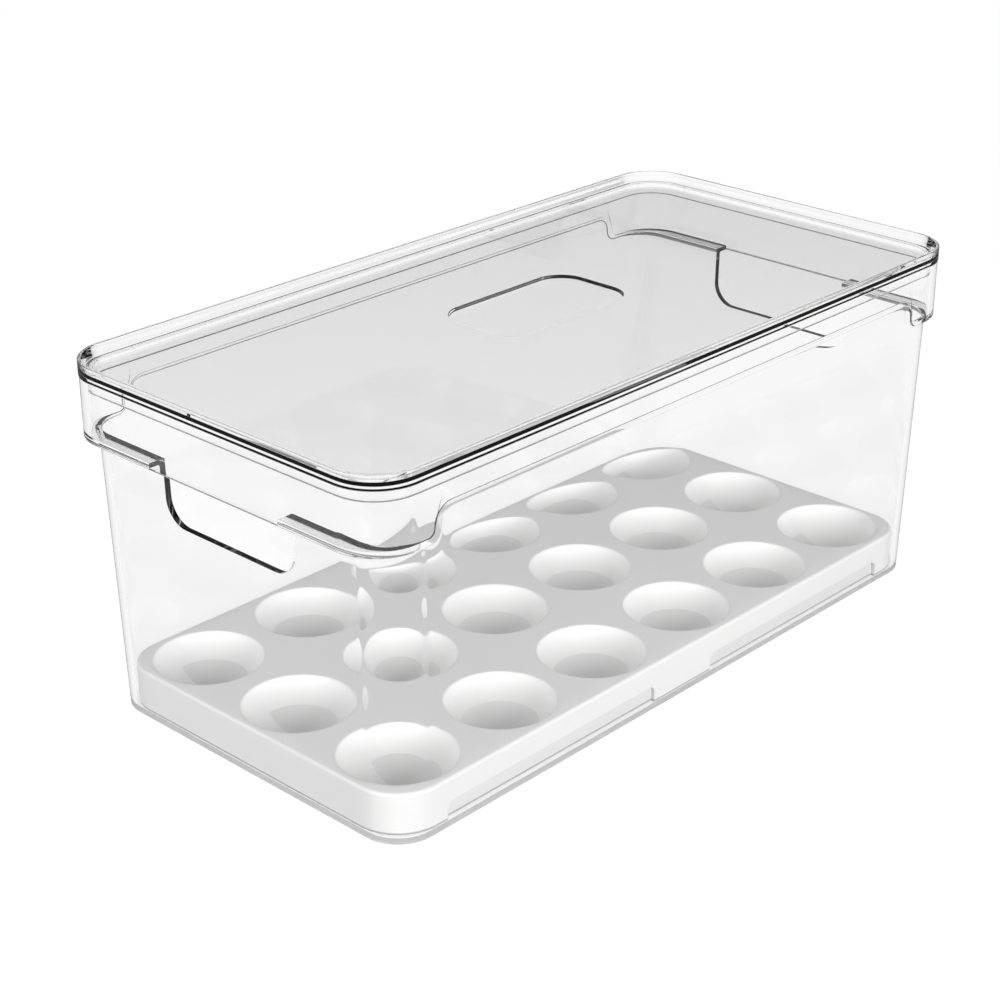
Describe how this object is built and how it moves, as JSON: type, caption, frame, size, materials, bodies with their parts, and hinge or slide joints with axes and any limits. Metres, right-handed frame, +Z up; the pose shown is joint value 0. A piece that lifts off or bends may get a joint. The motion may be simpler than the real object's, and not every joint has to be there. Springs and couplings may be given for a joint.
{
  "type": "egg keeper",
  "caption": "Clear rectangular box with a lift-off lid, a collar with handle openings at its ends, and a white tray of round cups in its base.",
  "frame": {"origin": "middle of the base, on the surface that the box stands on", "axes": "+X along the length, +Y across the width, +Z up out of the lid"},
  "size_m": [0.32, 0.16, 0.139],
  "materials": {
    "clear_body": "clear, polished",
    "clear_lid": "clear, polished",
    "white_tray": "fine satin"
  },
  "bodies": {
    "box": {"container": "clear_body"},
    "lid": {"lid": "clear_lid"},
    "tray": {"cup_tray": "white_tray"}
  },
  "joints": [
    {"name": "lid_lift", "type": "slide", "parent": "box", "child": "lid", "axis": [0, 0, 1], "range_m": [0, 0.16]},
    {"name": "tray_lift", "type": "slide", "parent": "box", "child": "tray", "axis": [0, 0, 1], "range_m": [0, 0.108]}
  ]
}
